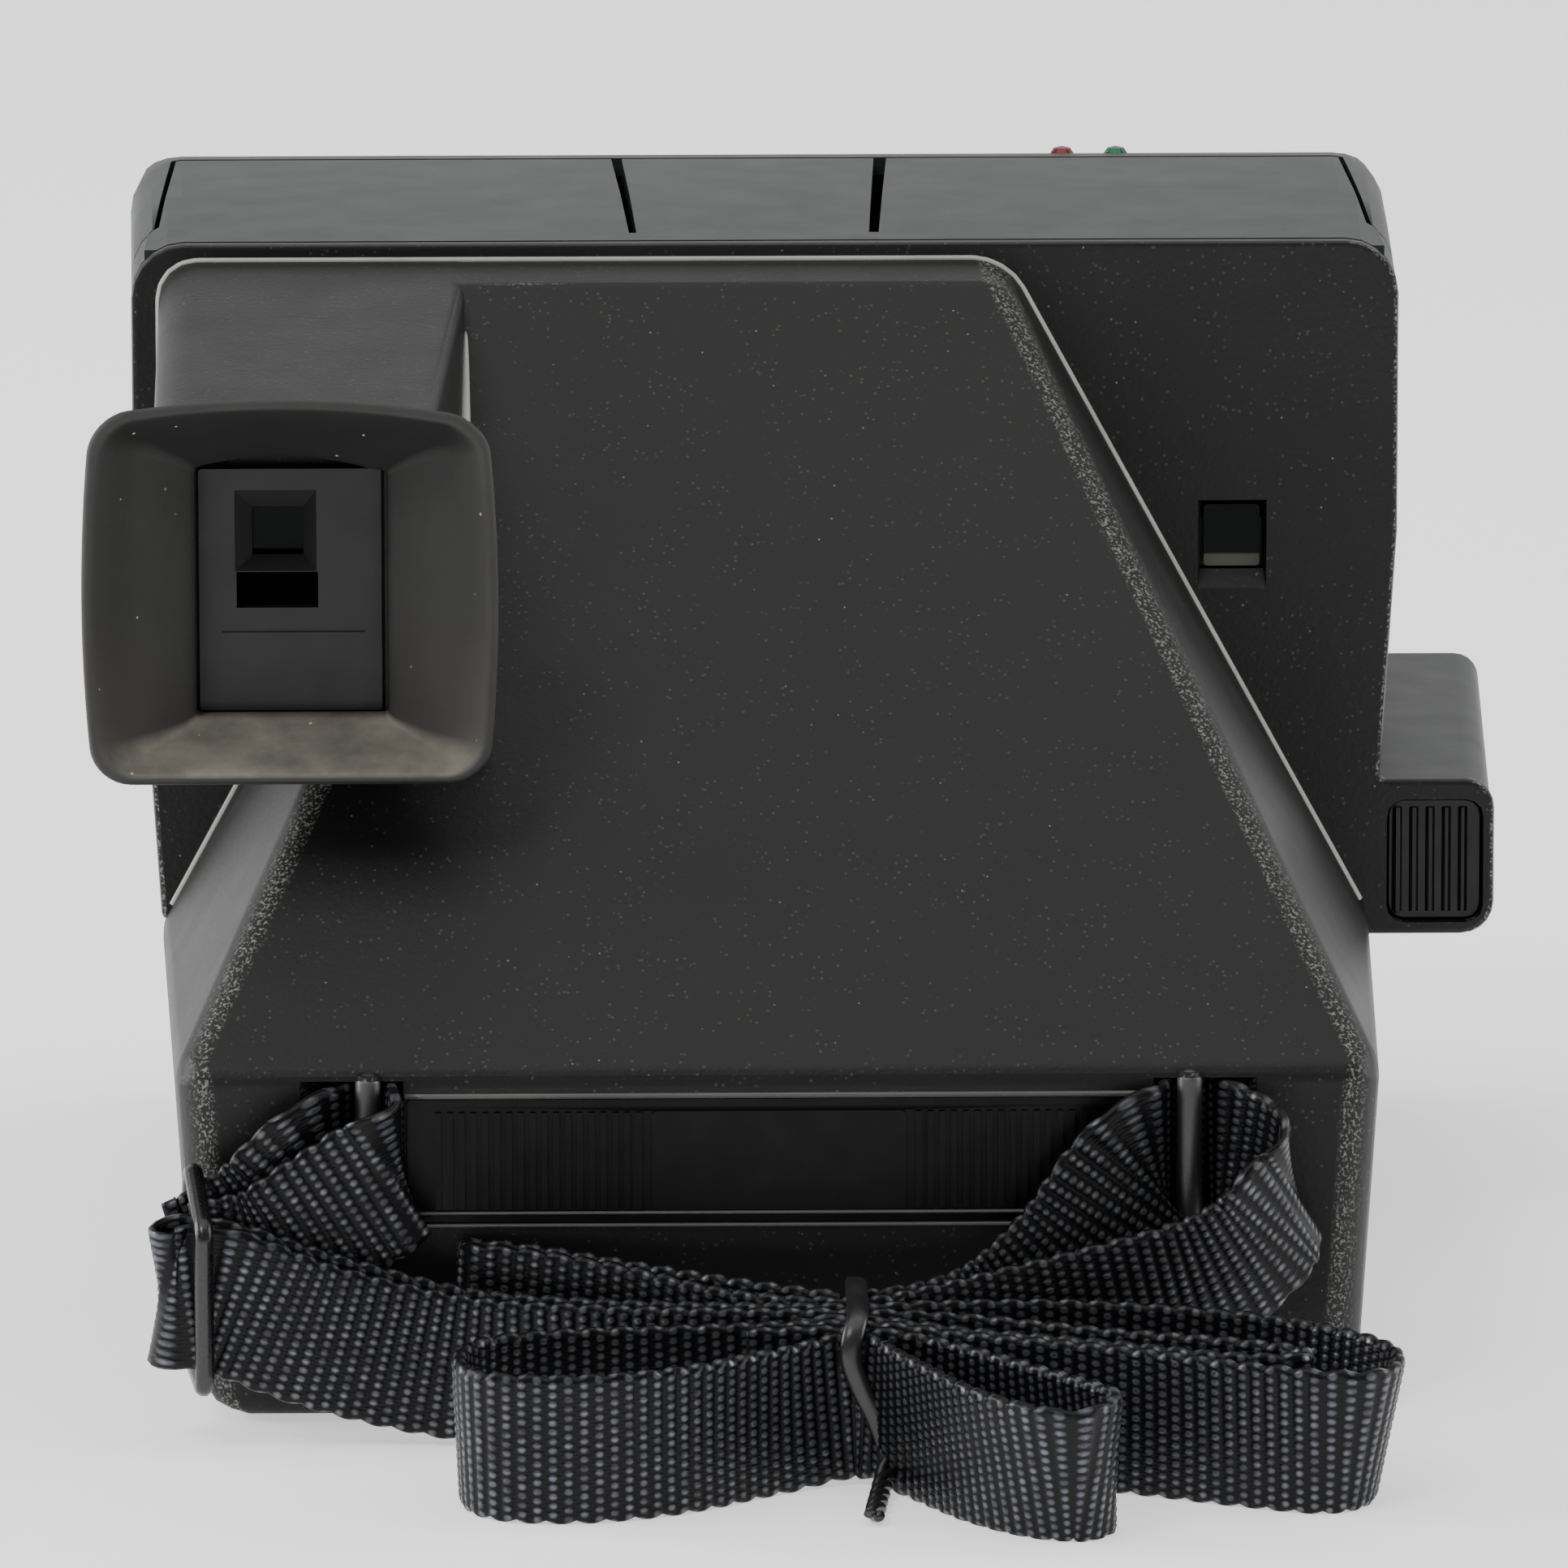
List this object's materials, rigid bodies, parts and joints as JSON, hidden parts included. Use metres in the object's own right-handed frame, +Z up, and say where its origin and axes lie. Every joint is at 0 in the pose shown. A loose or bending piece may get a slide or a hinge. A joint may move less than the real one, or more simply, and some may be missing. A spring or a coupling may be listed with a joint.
{
  "type": "instant camera",
  "caption": "Rigid-body instant camera with a flip-up flash, mirror hump, rubber eyecup, drop-down film door, side shutter pod and a folded, tied webbing neck strap.",
  "frame": {"origin": "on the resting plane, under the middle of the camera body, on the underside of the base tray", "axes": "+X to the viewer's right, +Y the way the lens looks, +Z up"},
  "size_m": [0.1303, 0.1967, 0.0954],
  "materials": {
    "grained": "fine black grain",
    "satin": "satin dark grey",
    "gloss": "gloss black",
    "rubber": "matt, dusty",
    "clear": "clear",
    "lens": "coated glass",
    "mirror": "mirror",
    "steel": "satin steel",
    "dial": "off-white",
    "button": "satin red",
    "red": "clear red",
    "green": "clear green",
    "webbing": "woven, black",
    "tie": "black"
  },
  "bodies": {
    "camera": {"rear_shell": "grained", "base_tray": "grained", "base_screw_1": "steel", "base_screw_2": "steel", "base_screw_3": "steel", "base_screw_4": "steel", "grip_panel": "gloss", "eyecup": "rubber", "eyepiece_frame": "gloss", "eyepiece_lens": "clear", "counter_window": "clear", "mirror": "mirror", "lens_ring": "gloss", "taking_lens": "lens", "shutter_case": "gloss", "light_cone": "gloss", "front_housing": "satin", "front_panel": "gloss", "finder_window": "clear", "cell_lens": "lens", "arm_pin_left": "steel", "arm_pin_right": "steel", "door_pin_left": "steel", "door_pin_right": "steel", "strap_left_loop": "webbing", "strap_rear_fold": "webbing", "strap_front_fold": "webbing", "strap_slider": "steel", "strap_tie": "tie"},
    "flash": {"flash_shell": "satin", "flash_window": "clear", "flash_reflector": "mirror", "flash_tube": "clear", "ready_lamp_red": "red", "ready_lamp_green": "green"},
    "door": {"film_door": "satin", "roller_bracket": "steel"},
    "roller_top": {"upper_roller": "steel"},
    "roller_bottom": {"lower_roller": "steel"},
    "button": {"shutter_button": "button"},
    "latch": {"door_latch": "gloss"},
    "exposure": {"exposure_slider": "button"},
    "counter": {"counter_wheel": "dial"}
  },
  "joints": [
    {"name": "flash_lift", "type": "hinge", "parent": "camera", "child": "flash", "pos_m": [0, 0.0245, 0.084], "axis": [1, 0, 0], "range_deg": [0, 88]},
    {"name": "door_drop", "type": "hinge", "parent": "camera", "child": "door", "pos_m": [0, 0.049, 0.004], "axis": [-1, 0, 0], "range_deg": [0, 70]},
    {"name": "upper_roller_spin", "type": "hinge", "parent": "door", "child": "roller_top", "pos_m": [0, 0.056, 0.0246], "axis": [1, 0, 0], "continuous": true},
    {"name": "lower_roller_spin", "type": "hinge", "parent": "door", "child": "roller_bottom", "pos_m": [0, 0.056, 0.0192], "axis": [1, 0, 0], "continuous": true},
    {"name": "button_press", "type": "slide", "parent": "camera", "child": "button", "axis": [0, -1, 0], "range_m": [0, 0.0018], "stiffness_N_per_m": 400, "springref_m": -0.0008},
    {"name": "latch_push", "type": "slide", "parent": "camera", "child": "latch", "axis": [0, 1, 0], "range_m": [0, 0.003], "stiffness_N_per_m": 400, "springref_m": -0.0008},
    {"name": "exposure_slide", "type": "slide", "parent": "camera", "child": "exposure", "axis": [1, 0, 0], "range_m": [-0.005, 0.005]},
    {"name": "counter_turn", "type": "hinge", "parent": "camera", "child": "counter", "pos_m": [0.0427, 0.0006, 0.058], "axis": [0, 1, 0], "range_deg": [0, 300]}
  ],
  "couplings": [
    {"joint": "lower_roller_spin", "follows": "upper_roller_spin", "ratio": -1}
  ]
}
